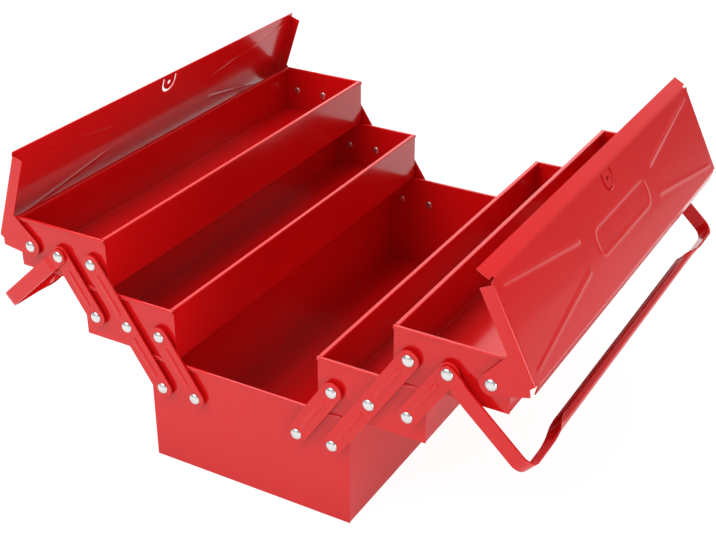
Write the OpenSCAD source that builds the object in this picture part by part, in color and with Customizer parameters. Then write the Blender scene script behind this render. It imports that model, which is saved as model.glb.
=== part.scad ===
// Cantilever tool box: a base, two middle trays and two top trays on parallel links, shown spread open.
// X runs across the spread, Y along the box, Z up. The origin is the middle of the base's underside.

/* [Base] */
// Width of the base, outside its long walls
base_w = 196; // [180:1:230]
// Length of the base and of every tray, outside the end plates
box_l = 430; // [300:5:560]
// Height of the base
base_h = 104.2; // [92:0.1:140]

/* [Trays] */
// Height of a middle tray
middle_h = 49.5; // [42:0.5:60]
// Height of a top tray
top_h = 48; // [42:0.5:54]
// Gap between the left and right trays when the box is shut
centre_gap = 5.2; // [2:0.2:10]
// Space between a tray and the rim under it at either end of its swing
rest_gap = 0.3; // [0.2:0.1:1]

/* [Sheet steel] */
// Thickness of the sheet
sheet_t = 1; // [0.7:0.1:1.4]
// Width of the folded rim along a long wall
rim_w = 4.4; // [2.2:0.1:6]
// Depth of the folded rim along a long wall
rim_h = 3.8; // [3:0.1:6]
// Distance that the hem of an end plate stands proud
hem_out = 1.6; // [1:0.1:1.8]
// Depth of the hem of an end plate
hem_h = 3.8; // [3.2:0.1:6]
// Width of the corner tab behind an end plate
tab_w = 8; // [5:0.5:9]

/* [Linkage] */
// Distance from a tray's outer wall to its outermost pivot
pivot_in = 14.2; // [13.4:0.1:16]
// Distance from a tray's inner wall to its innermost pivot
inner_pivot_in = 14.4; // [13:0.1:18]
// Height of the pivots above the bottom of a middle tray
middle_pivot_h = 21.8; // [18:0.1:26]
// Height of the pivots above the bottom of a top tray
top_pivot_h = 22.6; // [18:0.1:26]
// Width of a link
link_w = 18; // [15:0.5:20]
// Thickness of a link
link_t = 2; // [1.5:0.1:2.5]
// Width of the pressed rib along a link
rib_w = 4.6; // [3:0.2:6]
// Height of the pressed rib on a link
rib_h = 0.8; // [0.4:0.1:1.2]
// Distance from a rivet's axis to the end of the pressed rib
rib_from = 12; // [11:0.5:18]
// Radius of the spacer between a wall and a link
spacer_r = 6.5; // [5:0.1:8]
// Thickness of the spacer between a wall and a link
spacer_t = 2.2; // [2:0.1:3]

/* [Rivets] */
// Radius of a rivet's shank
shank_r = 2.5; // [2:0.1:3]
// Radius of a rivet's domed head
head_r = 5; // [4:0.1:5.6]
// Height of a rivet's domed head
head_h = 2.2; // [1.6:0.1:2.6]
// Radius of the clenched tail inside the tray
tail_r = 4; // [3.2:0.1:4.6]
// Height of the clenched tail inside the tray
tail_h = 1.2; // [0.8:0.1:2]
// Play between a shank and the hole of a piece that turns on it
turn_play = 0.08; // [0.03:0.01:0.1]
// Play between a shank and the hole of a piece that it clamps
clamp_play = 0.03; // [0.02:0.01:0.05]
// Play along a shank on each side of a piece that turns on it
side_play = 0.15; // [0.1:0.05:0.3]

/* [Lids] */
// Height of a lid's flat top above its pivot
lid_rise = 34.2; // [33.6:0.1:38]
// Distance from a lid's pivot out to the bend over its shoulder
lid_out = 8.4; // [6:0.1:10]
// Distance from the left lid's free edge to the box's middle, when shut
left_edge_short = 3.4; // [2.4:0.1:8]
// Distance from the right lid's bend to the box's middle, when shut
right_bend_short = 5.9; // [4.4:0.1:12]
// Width of the right lid's bent strip
strip_w = 13; // [8:0.5:13]
// Slope of the right lid's bent strip
strip_slope = 35; // [20:1:35]
// Width of a lid's sloping shoulder
shoulder_w = 9.4; // [6:0.1:9.8]
// Slope of a lid's shoulder
shoulder_slope = 41; // [30:1:41]
// Length of the relief notch at each end of the shoulder
shoulder_notch = 6; // [3:0.5:12]
// Depth of a lid's end flange
flange_h = 11.4; // [8:0.1:14]
// Distance that an end flange stops short of the lid's free edge
flange_short = 4; // [2:0.5:8]
// Radius of the ear round a lid's pivot
ear_r = 9.4; // [8.4:0.1:10.5]
// Distance from the pivot in to the foot of the flange's slanting edge
ear_reach = 20; // [16:0.5:30]
// Angle that the left lid is opened to
left_lid_angle = 71.5; // [40:0.5:80]
// Angle that the right lid is opened to
right_lid_angle = 63.5; // [40:0.5:80]

/* [Lid pressings] */
// Width of the curved slot round the lock tab
tab_slot_w = 21; // [12:0.5:26]
// Depth of the curved slot round the lock tab
tab_slot_d = 17; // [12:0.5:24]
// Width of the cut that makes the curved slot
tab_cut = 2.6; // [1:0.1:4]
// Radius of the hole in the lock tab
tab_hole_r = 2.4; // [1:0.1:3]
// Distance from the lock tab's slot to the free edge or bend
tab_from_edge = 3; // [1:0.5:6]
// Width of a stiffening rib pressed in a lid
lid_rib_w = 5; // [3:0.5:8]
// Height of a stiffening rib pressed in a lid
lid_rib_h = 0.8; // [0.4:0.1:1.5]
// Distance from the lid's ends to the outer end of a stiffening rib
lid_rib_margin = 13; // [8:1:20]
// Distance from the flat top's long edges to the outer end of a stiffening rib
lid_rib_edge = 8.5; // [6:0.5:14]
// Half length of the plain field between the stiffening ribs
field_half_l = 84; // [60:1:100]
// Half width of the plain field between the stiffening ribs
field_half_w = 13.5; // [8:0.5:18]

/* [Handles] */
// Distance from a handle's pivot to the outside of its crossbar
handle_reach = 93; // [88:0.5:96]
// Width of the handle's strip
handle_w = 14; // [12:0.5:15]
// Thickness of the handle's strip
handle_t = 2.2; // [1.8:0.1:2.6]
// Outer radius of the bend between an arm and the crossbar
handle_bend = 12; // [6:0.5:14]
// Distance from the pivot to the start of the arm's outward joggle
joggle_from = 10; // [8.5:0.5:11]
// Length of the arm's outward joggle
joggle_l = 5; // [3:0.5:5]
// Clearance of an arm over the lid's rivet
arm_gap = 0.5; // [0.3:0.1:1.5]
// Angle that a handle hangs below the level
handle_drop = 43; // [30:1:60]
// Length of the rolled grip in the crossbar
grip_l = 330; // [150:5:330]
// Radius of the rolled grip
grip_r = 5.2; // [4.5:0.1:6]
// Wall of the rolled grip
grip_wall = 1.6; // [1:0.1:2.2]
// Width of the slot along the inside of the grip
grip_slot = 4; // [2:0.5:6]

/* [Hidden] */
$fn = 48;

// Overlap of shapes that are joined or cut
eps = 0.01;
// Depth inside the ear's round edge at which the flange's slanting edges run into it
ear_dip = 0.3;

// Trays: half the base each, less half of the gap
tray_w = (base_w - centre_gap) / 2;
half_l = box_l / 2;
half_w = base_w / 2;
// Distance between neighbouring pivots, of which a tray has three in a row
pivot_step = (tray_w - pivot_in - inner_pivot_in) / 2;

// Linkage: each link leans one pivot step out at rest, and one pivot step in when shut
link_rise = middle_h - middle_pivot_h + rest_gap + top_pivot_h;
link_pitch = sqrt(pow(pivot_step, 2) + pow(link_rise, 2));
link_lean = atan(pivot_step / link_rise);
base_pivot_z = base_h + rest_gap + middle_pivot_h - link_rise;
middle_pivot_z = base_pivot_z + link_rise;
top_pivot_z = middle_pivot_z + link_rise;
base_x = half_w - pivot_in;
middle_x = base_x + pivot_step;
top_x = middle_x + pivot_step;
handle_x = top_x + pivot_step;
lid_x = handle_x + pivot_step;

// Trays' outer walls and undersides
middle_outer_x = lid_x - pivot_step * 2 + pivot_in;
top_outer_x = lid_x + pivot_in;
middle_z = middle_pivot_z - middle_pivot_h;
top_z = top_pivot_z - top_pivot_h;

// Stack of pieces on an end wall, as distances out from the wall
link_y = spacer_t + side_play;
link_head_y = link_y + link_t + side_play;
ear_head_y = link_y + sheet_t + side_play;
handle_y = link_head_y;
handle_head_y = handle_y + handle_t + side_play;
arm_y = max(ear_head_y + head_h, link_y + link_t + rib_h) + arm_gap;

// Lids run past the end walls by the ear's place and thickness
lid_half_l = half_l + link_y + sheet_t;
left_lid_w = base_x + lid_out - left_edge_short;
right_lid_w = base_x + lid_out - right_bend_short;
ear_edge_z = lid_rise - flange_h;
shoulder_x = lid_out + shoulder_w * cos(shoulder_slope);
shoulder_z = lid_rise - shoulder_w * sin(shoulder_slope);

// Handle frame
bar_half_l = half_l + arm_y + handle_t;
joggle_to = joggle_from + joggle_l;

// The upper link's rib starts where the handle's end, which turns over it, has stepped clear of it
rib_clear_y = link_y + link_t + rib_h + side_play;
clear_share = max(0, min(1, (rib_clear_y - handle_y) / (arm_y - handle_y)));
upper_rib_from = max(rib_from, norm([joggle_from + joggle_l * clear_share, handle_w / 2]));

// Colours
red_paint = [0.86, 0.2, 0.22];
zinc = [0.85, 0.86, 0.86];

// Point where a line from p touches a circle of radius r round the origin
function touch(p, r, side) =
    let (a = atan2(p[1], p[0]) + side * acos(r / norm(p))) [r * cos(a), r * sin(a)];

// The model's right side is drawn, and its left side is a mirror image
module on_left() {
    mirror([1, 0, 0]) children();
}

module at_rear() {
    mirror([0, 1, 0]) children();
}

module both_ends() {
    children();
    at_rear() children();
}

// A rod along -Y that starts at distance y out from the front wall
module out_rod(x, z, y, r, h) {
    translate([x, -half_l - y, z]) rotate([90, 0, 0]) cylinder(r = r, h = h);
}

// Section of a shell's wall and folded rim, with its outer face on x = 0
module wall_section(h) {
    square([sheet_t, h - rim_w / 2]);
    translate([0, h - rim_h]) square([rim_w, rim_h - rim_w / 2]);
    translate([rim_w / 2, h - rim_w / 2]) circle(r = rim_w / 2);
}

// Folded shell: a bottom, two long walls with folded rims, and a tab at each corner
module shell(x0, z0, w, h) {
    translate([x0, 0, z0]) {
        rotate([90, 0, 0]) linear_extrude(box_l - 2 * sheet_t, center = true) {
            square([w, sheet_t]);
            wall_section(h);
            translate([w, 0]) mirror([1, 0]) wall_section(h);
        }
        for (x = [0, w - tab_w]) {
            for (y = [-half_l + sheet_t, half_l - 2 * sheet_t]) {
                translate([x, y, 0]) cube([tab_w, sheet_t, h - rim_h]);
            }
        }
    }
}

// Front end plate with a rolled hem outside its top edge, and a hole for each rivet
module end_plate(x0, z0, w, h, pivots, pivot_z) {
    hem_w = sheet_t + hem_out;
    difference() {
        translate([x0, -half_l, z0]) {
            cube([w, sheet_t, h - hem_w / 2]);
            rotate([90, 0, 90]) linear_extrude(w) {
                translate([-hem_out, h - hem_h + hem_w / 2]) square([hem_w, hem_h - hem_w]);
                translate([-hem_out + hem_w / 2, h - hem_w / 2]) circle(d = hem_w);
                translate([-hem_out + hem_w / 2, h - hem_h + hem_w / 2]) circle(d = hem_w);
            }
        }
        for (x = pivots) {
            out_rod(x, pivot_z, -sheet_t - eps, shank_r + clamp_play, sheet_t + 2 * eps);
        }
    }
}

module spacer(x, z) {
    difference() {
        out_rod(x, z, 0, spacer_r, spacer_t);
        out_rod(x, z, -eps, shank_r + clamp_play, spacer_t + 2 * eps);
    }
}

// Rivet with a domed head at distance head_y out from the wall and a tail inside the tray
module rivet(x, z, head_y) {
    dome_r = (pow(head_r, 2) + pow(head_h, 2)) / (2 * head_h);
    out_rod(x, z, -sheet_t - tail_h, tail_r, tail_h);
    out_rod(x, z, -sheet_t - eps, shank_r, sheet_t + head_y + 2 * eps);
    intersection() {
        out_rod(x, z, head_y, head_r, head_h);
        translate([x, -half_l - head_y - head_h + dome_r, z]) sphere(r = dome_r, $fn = 64);
    }
}

base_pivots = [base_x - pivot_step, base_x];
middle_pivots = [middle_x - pivot_step, middle_x, middle_x + pivot_step];
top_pivots = [top_x, handle_x, lid_x];

// Base
module base_shell() {
    color(red_paint) shell(-half_w, 0, base_w, base_h);
}

module base_front_end() {
    color(red_paint) end_plate(-half_w, 0, base_w, base_h,
        concat(base_pivots, -base_pivots), base_pivot_z);
}

module base_rear_end() {
    at_rear() base_front_end();
}

module base_rivets() {
    color(zinc) both_ends() {
        for (x = concat(base_pivots, -base_pivots)) {
            rivet(x, base_pivot_z, link_head_y);
        }
    }
}

module base_spacers() {
    color(red_paint) both_ends() {
        for (x = concat(base_pivots, -base_pivots)) {
            spacer(x, base_pivot_z);
        }
    }
}

// Middle trays
module middle_shell() {
    color(red_paint) shell(middle_outer_x - tray_w, middle_z, tray_w, middle_h);
}

module middle_end() {
    color(red_paint) end_plate(middle_outer_x - tray_w, middle_z, tray_w, middle_h,
        middle_pivots, middle_pivot_z);
}

module middle_rivets() {
    color(zinc) both_ends() {
        for (x = middle_pivots) {
            rivet(x, middle_pivot_z, link_head_y);
        }
    }
}

module middle_spacers() {
    color(red_paint) both_ends() {
        for (x = middle_pivots) {
            spacer(x, middle_pivot_z);
        }
    }
}

// Top trays
module top_shell() {
    color(red_paint) shell(top_outer_x - tray_w, top_z, tray_w, top_h);
}

module top_end() {
    color(red_paint) end_plate(top_outer_x - tray_w, top_z, tray_w, top_h,
        top_pivots, top_pivot_z);
}

module top_rivets() {
    color(zinc) both_ends() {
        rivet(top_x, top_pivot_z, link_head_y);
        rivet(handle_x, top_pivot_z, handle_head_y);
        rivet(lid_x, top_pivot_z, ear_head_y);
    }
}

module top_spacers() {
    color(red_paint) both_ends() {
        for (x = top_pivots) {
            spacer(x, top_pivot_z);
        }
    }
}

// Link with a number of bays, its lowest pivot at x, z, leaning outward
module link(x, z, bays, rib_to_top = rib_from) {
    length = bays * link_pitch;
    color(red_paint) translate([x, -half_l - link_y, z]) rotate([0, link_lean, 0]) {
        difference() {
            rotate([90, 0, 0]) linear_extrude(link_t) {
                translate([-link_w / 2, 0]) square([link_w, length]);
                circle(d = link_w);
                translate([0, length]) circle(d = link_w);
            }
            for (i = [0 : bays]) {
                translate([0, eps, i * link_pitch]) rotate([90, 0, 0])
                    cylinder(r = shank_r + turn_play, h = link_t + 2 * eps);
            }
        }
        for (i = [0 : bays - 1]) {
            translate([0, -link_t, i * link_pitch]) link_rib(rib_to_top);
        }
    }
}

// Rib pressed in a link between two rivets, ending at a distance below the upper one
module link_rib(rib_to_top) {
    first = rib_from + rib_w / 2;
    last = link_pitch - rib_to_top - rib_w / 2;
    rotate([90, 0, 0]) linear_extrude(rib_h) {
        translate([-rib_w / 2, first]) square([rib_w, last - first]);
        translate([0, first]) circle(d = rib_w);
        translate([0, last]) circle(d = rib_w);
    }
}

module long_link() {
    link(base_x, base_pivot_z, 2);
}

module lower_link() {
    link(base_x - pivot_step, base_pivot_z, 1);
}

module upper_link() {
    link(middle_x + pivot_step, middle_pivot_z, 1, upper_rib_from);
}

// Outline of a lid's end flange and ear, with the pivot at the origin and the lid shut
module ear_outline(free_x) {
    outer_foot = [shoulder_x - sheet_t, shoulder_z - sheet_t];
    inner_foot = [-ear_reach, ear_edge_z];
    difference() {
        union() {
            circle(r = ear_r);
            polygon([
                [free_x + flange_short, lid_rise], [lid_out - sheet_t, lid_rise],
                [lid_out, shoulder_z + sheet_t], outer_foot,
                touch(outer_foot, ear_r - ear_dip, -1), touch(inner_foot, ear_r - ear_dip, 1),
                inner_foot, [free_x + flange_short, ear_edge_z]
            ]);
        }
        circle(r = shank_r + turn_play);
    }
}

// Curved slot that frees a tab in the flat top, open towards -X
module lock_tab_cut(edge_x) {
    outer_r = tab_slot_w / 2;
    straight = tab_slot_d - outer_r;
    translate([edge_x + tab_from_edge, 0]) {
        // The slot's legs stop short of the free edge, so that the tab hangs on the strip between
        intersection() {
            translate([0, -outer_r]) square([tab_slot_d, tab_slot_w]);
            difference() {
                union() {
                    translate([0, -outer_r]) square([straight, tab_slot_w]);
                    translate([straight, 0]) circle(r = outer_r);
                }
                translate([-eps, -outer_r + tab_cut])
                    square([straight + eps, tab_slot_w - 2 * tab_cut]);
                translate([straight, 0]) circle(r = outer_r - tab_cut);
            }
        }
        translate([straight, 0]) circle(r = tab_hole_r);
    }
}

// Stiffening rib from the plain field to one corner of the flat top
module lid_rib(mid_x, flat_w, along, across) {
    start = [mid_x + across * field_half_w, along * field_half_l];
    end = [mid_x + across * (flat_w / 2 - lid_rib_edge), along * (lid_half_l - lid_rib_margin)];
    run = end - start;
    translate([start[0], start[1], lid_rise - eps]) rotate([0, 0, atan2(run[1], run[0])])
        linear_extrude(lid_rib_h + eps) {
            translate([0, -lid_rib_w / 2]) square([norm(run), lid_rib_w]);
            circle(d = lid_rib_w);
            translate([norm(run), 0]) circle(d = lid_rib_w);
        }
}

// Lid, shut, with its pivot at the origin; the bent strip has width strip
module lid_shut(flat_w, strip) {
    free_x = lid_out - flat_w;
    mid_x = lid_out - flat_w / 2;
    difference() {
        union() {
            rotate([90, 0, 0]) linear_extrude(2 * lid_half_l, center = true) {
                translate([free_x, lid_rise - sheet_t]) square([flat_w, sheet_t]);
                if (strip > 0) {
                    translate([free_x, lid_rise]) mirror([1, 0]) rotate(-strip_slope)
                        translate([0, -sheet_t]) square([strip, sheet_t]);
                }
            }
            rotate([90, 0, 0]) linear_extrude(2 * (lid_half_l - shoulder_notch), center = true) {
                translate([lid_out, lid_rise]) rotate(-shoulder_slope)
                    translate([0, -sheet_t]) square([shoulder_w, sheet_t]);
            }
            both_ends() {
                translate([0, -lid_half_l + sheet_t, 0]) rotate([90, 0, 0])
                    linear_extrude(sheet_t) ear_outline(free_x);
            }
            for (along = [-1, 1]) {
                for (across = [-1, 1]) {
                    lid_rib(mid_x, flat_w, along, across);
                }
            }
        }
        translate([0, 0, lid_rise - sheet_t - eps]) linear_extrude(sheet_t + 2 * eps)
            lock_tab_cut(free_x);
    }
}

module lid(flat_w, strip, opened) {
    color(red_paint) translate([lid_x, 0, top_pivot_z]) rotate([0, opened, 0])
        lid_shut(flat_w, strip);
}

// Plan of half of a handle's strip: X runs from the pivot to the crossbar, Y out from the middle
module handle_plan() {
    end_y = half_l + handle_y;
    arm_in_y = bar_half_l - handle_t;
    translate([-handle_w / 2, end_y]) square([handle_w / 2 + joggle_from, handle_t]);
    polygon([
        [joggle_from - eps, end_y], [joggle_to + eps, arm_in_y],
        [joggle_to + eps, bar_half_l], [joggle_from - eps, end_y + handle_t]
    ]);
    translate([joggle_to, arm_in_y])
        square([handle_reach - handle_bend - joggle_to, handle_t]);
    translate([handle_reach - handle_bend, bar_half_l - handle_bend]) intersection() {
        difference() {
            circle(r = handle_bend);
            circle(r = handle_bend - handle_t);
        }
        square(handle_bend);
    }
    translate([handle_reach - handle_t, grip_l / 2])
        square([handle_t, bar_half_l - handle_bend - grip_l / 2]);
}

// Rolled grip: a tube along Y with a slot on its inner side
module grip() {
    difference() {
        rotate([90, 0, 0]) cylinder(r = grip_r, h = grip_l + 2 * eps, center = true);
        rotate([90, 0, 0]) cylinder(r = grip_r - grip_wall, h = grip_l + 1, center = true);
        translate([-grip_r, 0, 0]) cube([grip_r, grip_l + 1, grip_slot], center = true);
    }
}

module handle() {
    color(red_paint) translate([handle_x, 0, top_pivot_z]) rotate([0, handle_drop, 0]) {
        difference() {
            intersection() {
                both_ends() linear_extrude(handle_w, center = true) handle_plan();
                union() {
                    rotate([90, 0, 0]) cylinder(d = handle_w, h = 2 * bar_half_l, center = true);
                    translate([0, -bar_half_l, -handle_w])
                        cube([handle_reach, 2 * bar_half_l, 2 * handle_w]);
                }
            }
            rotate([90, 0, 0])
                cylinder(r = shank_r + turn_play, h = 2 * bar_half_l + 1, center = true);
        }
        translate([handle_reach - grip_r, 0, 0]) grip();
    }
}

base_shell();
base_front_end();
base_rear_end();
base_rivets();
base_spacers();
on_left() middle_shell();  // left_middle_shell
on_left() middle_end();  // left_middle_front_end
on_left() at_rear() middle_end();  // left_middle_rear_end
on_left() middle_rivets();  // left_middle_rivets
on_left() middle_spacers();  // left_middle_spacers
middle_shell();  // right_middle_shell
middle_end();  // right_middle_front_end
at_rear() middle_end();  // right_middle_rear_end
middle_rivets();  // right_middle_rivets
middle_spacers();  // right_middle_spacers
on_left() top_shell();  // left_top_shell
on_left() top_end();  // left_top_front_end
on_left() at_rear() top_end();  // left_top_rear_end
on_left() top_rivets();  // left_top_rivets
on_left() top_spacers();  // left_top_spacers
top_shell();  // right_top_shell
top_end();  // right_top_front_end
at_rear() top_end();  // right_top_rear_end
top_rivets();  // right_top_rivets
top_spacers();  // right_top_spacers
on_left() long_link();  // left_front_long_link
on_left() at_rear() long_link();  // left_rear_long_link
on_left() lower_link();  // left_front_lower_link
on_left() at_rear() lower_link();  // left_rear_lower_link
on_left() upper_link();  // left_front_upper_link
on_left() at_rear() upper_link();  // left_rear_upper_link
long_link();  // right_front_long_link
at_rear() long_link();  // right_rear_long_link
lower_link();  // right_front_lower_link
at_rear() lower_link();  // right_rear_lower_link
upper_link();  // right_front_upper_link
at_rear() upper_link();  // right_rear_upper_link
on_left() lid(left_lid_w, 0, left_lid_angle);  // left_lid
lid(right_lid_w, strip_w, right_lid_angle);  // right_lid
on_left() handle();  // left_handle
handle();  // right_handle
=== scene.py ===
# %% [markdown]
# # A cantilever tool box in red stove enamel
# The box stands spread open: a deep base, two middle trays and two top trays on parallel links,
# a lid hinged on each top tray, and a bail handle on each side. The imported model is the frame
# that everything here is fitted to. The lesson dresses it with folded and hemmed sheet, pressed
# ribs, domed rivets and a glossy enamel, and then lights it like a catalogue picture.

import math

import bmesh
import bpy
from mathutils import Matrix, Vector


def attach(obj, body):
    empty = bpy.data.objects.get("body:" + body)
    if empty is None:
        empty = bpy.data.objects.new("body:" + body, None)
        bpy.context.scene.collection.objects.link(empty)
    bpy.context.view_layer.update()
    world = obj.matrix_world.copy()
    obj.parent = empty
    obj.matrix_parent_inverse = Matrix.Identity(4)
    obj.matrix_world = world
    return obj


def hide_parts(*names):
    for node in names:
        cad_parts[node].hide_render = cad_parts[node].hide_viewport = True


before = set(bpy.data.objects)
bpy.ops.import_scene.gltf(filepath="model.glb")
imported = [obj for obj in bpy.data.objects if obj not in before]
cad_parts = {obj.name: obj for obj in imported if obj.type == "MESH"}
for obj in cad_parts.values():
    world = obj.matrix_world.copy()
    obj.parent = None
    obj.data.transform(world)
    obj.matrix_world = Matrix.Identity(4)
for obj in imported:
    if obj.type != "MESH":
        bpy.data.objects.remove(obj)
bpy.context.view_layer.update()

# %% [markdown]
# ## Working in millimetres
# A tool box is drawn in millimetres, and Blender works in metres. Each size below is written as the
# drawing has it, and one factor turns it into metres where a mesh or a node needs it.

# %% Sizes from the drawing
MM = 0.001
BASE_W, BOX_L, BASE_H = 196, 430, 104.2
MIDDLE_H, TOP_H, TRAY_W = 49.5, 48, 95.4
MIDDLE_OUT, MIDDLE_Z, TOP_OUT, TOP_Z = 164.8, 104.5, 231.6, 154.3
SHEET = 1
RIM_W, RIM_H = 4.4, 3.8
HEM_OUT, HEM_H, TAB_W = 1.6, 3.8, 8
PIVOT_STEP, LINK_RISE = 33.4, 50.6
BASE_PIVOT_X, BASE_PIVOT_Z = 83.8, 75.7
HALF_L = BOX_L / 2
PIVOT_X = [BASE_PIVOT_X + i * PIVOT_STEP for i in range(-1, 5)]
PIVOT_Z = [BASE_PIVOT_Z + i * LINK_RISE for i in range(3)]
print("pivots across the box:", PIVOT_X, "and up:", PIVOT_Z)

# %% [markdown]
# ## A small kit for materials
# Every finish here is made of nodes. A short function adds one node, sets its plain values and
# joins its inputs, so that a material reads like a recipe. Colours are written as hex values from a
# paint card and turned into the linear values that Blender's shaders expect.

# %% Helpers for nodes and colours
def linear(hex_code):
    """A hex colour as the four linear values of a shader's colour."""
    parts = [int(hex_code[i : i + 2], 16) / 255 for i in (1, 3, 5)]
    values = [c / 12.92 if c <= 0.04045 else ((c + 0.055) / 1.055) ** 2.4 for c in parts]
    return (*values, 1.0)


def add_node(tree, kind, settings=None, **inputs):
    """Adds a node. Inputs go by name, with _ for a space, or by number, as _0 or _6."""
    node = tree.nodes.new(kind)
    for key, value in (settings or {}).items():
        setattr(node, key, value)
    for key, value in inputs.items():
        numbered = key[1:].isdigit()
        socket = node.inputs[int(key[1:]) if numbered else key.replace("_", " ")]
        if isinstance(value, bpy.types.NodeSocket):
            tree.links.new(value, socket)
        else:
            socket.default_value = value
    return node


def new_material(name):
    material = bpy.data.materials.new(name)
    material.use_nodes = True
    tree = material.node_tree
    tree.nodes.clear()
    return material, tree


print("for example, #808080 is", round(linear("#808080")[0], 4), "in linear light")

# %% [markdown]
# ## Red stove enamel
# The sheet is sprayed and stoved, which leaves a glossy red coat. Close up the coat isn't quite
# flat: it has orange peel, a swell a few millimetres across, and it pools a little, so its colour
# drifts slightly over a hand's width. A clear coat gives the sharp top reflection over a redder
# body. A noise's scale counts its swells in a metre, so 420 is one every 2.4 mm, and 14 is one
# every 70 mm.

# %% Make the enamel
def make_enamel(name, body_hex, pooled_hex):
    material, tree = new_material(name)
    place = add_node(tree, "ShaderNodeTexCoord").outputs["Object"]
    drift = add_node(
        tree, "ShaderNodeTexNoise", Vector=place, Scale=14.0, Detail=2.0, Roughness=0.5
    )
    tone = add_node(
        tree, "ShaderNodeMix", {"data_type": "RGBA"},
        _0=drift.outputs["Fac"], _6=linear(body_hex), _7=linear(pooled_hex),
    )
    peel = add_node(
        tree, "ShaderNodeTexNoise", Vector=place, Scale=420.0, Detail=1.0, Roughness=0.4
    )
    swell = add_node(
        tree, "ShaderNodeBump", Strength=0.1, Distance=0.0002, Height=peel.outputs["Fac"]
    )
    paint = add_node(
        tree, "ShaderNodeBsdfPrincipled",
        Base_Color=tone.outputs[2], Roughness=0.2, Normal=swell.outputs["Normal"],
        IOR=1.41, Coat_Weight=0.2, Coat_Roughness=0.04,
    )
    add_node(tree, "ShaderNodeOutputMaterial", Surface=paint.outputs["BSDF"])
    return material


enamel = make_enamel("red_stove_enamel", "#D21013", "#C90D10")
print("enamel:", enamel.name, "with", len(enamel.node_tree.nodes), "nodes")

# %% [markdown]
# ## Bright zinc
# The rivets are plated with zinc. It is a metal finish, so its colour tints its reflections, and
# the small tumbling marks from the barrel, about a millimetre apart, spread them.

# %% Make the zinc
def make_zinc(name):
    material, tree = new_material(name)
    place = add_node(tree, "ShaderNodeTexCoord").outputs["Object"]
    marks = add_node(
        tree, "ShaderNodeTexNoise", Vector=place, Scale=900.0, Detail=3.0, Roughness=0.6
    )
    spread = add_node(
        tree, "ShaderNodeMapRange",
        Value=marks.outputs["Fac"], From_Min=0.3, From_Max=0.7, To_Min=0.2, To_Max=0.38,
    )
    dents = add_node(
        tree, "ShaderNodeBump", Strength=0.25, Distance=0.0001, Height=marks.outputs["Fac"]
    )
    metal = add_node(
        tree, "ShaderNodeBsdfPrincipled",
        Base_Color=linear("#DDDEDC"), Metallic=1.0, Roughness=spread.outputs["Result"],
        Normal=dents.outputs["Normal"],
    )
    add_node(tree, "ShaderNodeOutputMaterial", Surface=metal.outputs["BSDF"])
    return material


zinc = make_zinc("bright_zinc")
print("zinc:", zinc.name, "with", len(zinc.node_tree.nodes), "nodes")

# %% Give the CAD nodes their finishes
for name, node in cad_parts.items():
    node.data.materials.clear()
    node.data.materials.append(zinc if name.endswith("rivets") else enamel)
print("finished nodes:", len(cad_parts))

# %% [markdown]
# ## Folding sheet steel
# Every wall of the box is one millimetre sheet bent in a press. A bend has a small radius that
# catches the light, and a sheared edge is slightly broken. So each part starts as a line with
# rounded corners, gets its thickness on one side, and is pulled straight along the box or across
# it. A fine bevel breaks its edges.

# %% A bent line and its thickness
def bent_line(points, radii, steps=6):
    """A line through the points, with an arc of each radius at its corners."""
    path = [Vector(points[0])]
    for before, corner, after, radius in zip(points, points[1:], points[2:], radii):
        corner = Vector(corner)
        inward = (Vector(before) - corner).normalized()
        onward = (Vector(after) - corner).normalized()
        half = inward.angle(onward) / 2
        centre = corner + (inward + onward).normalized() * (radius / math.sin(half))
        first = corner + inward * (radius / math.tan(half)) - centre
        last = corner + onward * (radius / math.tan(half)) - centre
        start = math.atan2(first.y, first.x)
        turn = (math.atan2(last.y, last.x) - start + math.pi) % (2 * math.pi) - math.pi
        for step in range(steps + 1):
            angle = start + turn * step / steps
            path.append(centre + Vector((math.cos(angle), math.sin(angle))) * radius)
    path.append(Vector(points[-1]))
    return path


def thicken(path, thickness):
    """Closed outline: the line, and back along a line that lies thickness to its left."""
    inner = []
    for i, point in enumerate(path):
        a = (path[i] - path[i - 1]).normalized() if i else None
        b = (path[i + 1] - path[i]).normalized() if i + 1 < len(path) else None
        along = (a or b) + (b or a)
        across = Vector((-along.y, along.x)).normalized()
        stretch = across.dot(Vector((-(b or a).y, (b or a).x)))
        inner.append(point + across * (thickness / stretch))
    return path + inner[::-1]


# %% Pull an outline into a solid, and turn a solid into a piece
def pull(form, outline, near, far, place):
    """A solid between two copies of the outline. Place turns its x, y and the pull into a point."""
    rings = [
        [form.verts.new(Vector(place(p.x, p.y, t)) * MM) for p in outline] for t in (near, far)
    ]
    count = len(outline)
    for i in range(count):
        k = (i + 1) % count
        form.faces.new((rings[0][i], rings[0][k], rings[1][k], rings[1][i]))
    form.faces.new(rings[0][::-1])
    form.faces.new(rings[1])


def along_box(across, up, pulled):
    """The place of an outline that is drawn across the box and pulled along it."""
    return (across, pulled, up)


def break_edges(form, width, sharper_than=50):
    """A small round bevel on each edge that turns by more than so many degrees."""
    bmesh.ops.recalc_face_normals(form, faces=form.faces)
    sharp = [
        e for e in form.edges
        if len(e.link_faces) == 2 and e.calc_face_angle() > math.radians(sharper_than)
    ]
    bmesh.ops.bevel(
        form, geom=sharp, offset=width * MM, segments=2, profile=0.5,
        affect="EDGES", clamp_overlap=True,
    )


def work_out_modifiers(piece):
    """Gives the piece a plain mesh that its modifiers have already shaped."""
    bpy.context.view_layer.update()
    ready = piece.evaluated_get(bpy.context.evaluated_depsgraph_get())
    mesh = bpy.data.meshes.new_from_object(ready)
    piece.modifiers.clear()
    piece.data = mesh


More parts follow.
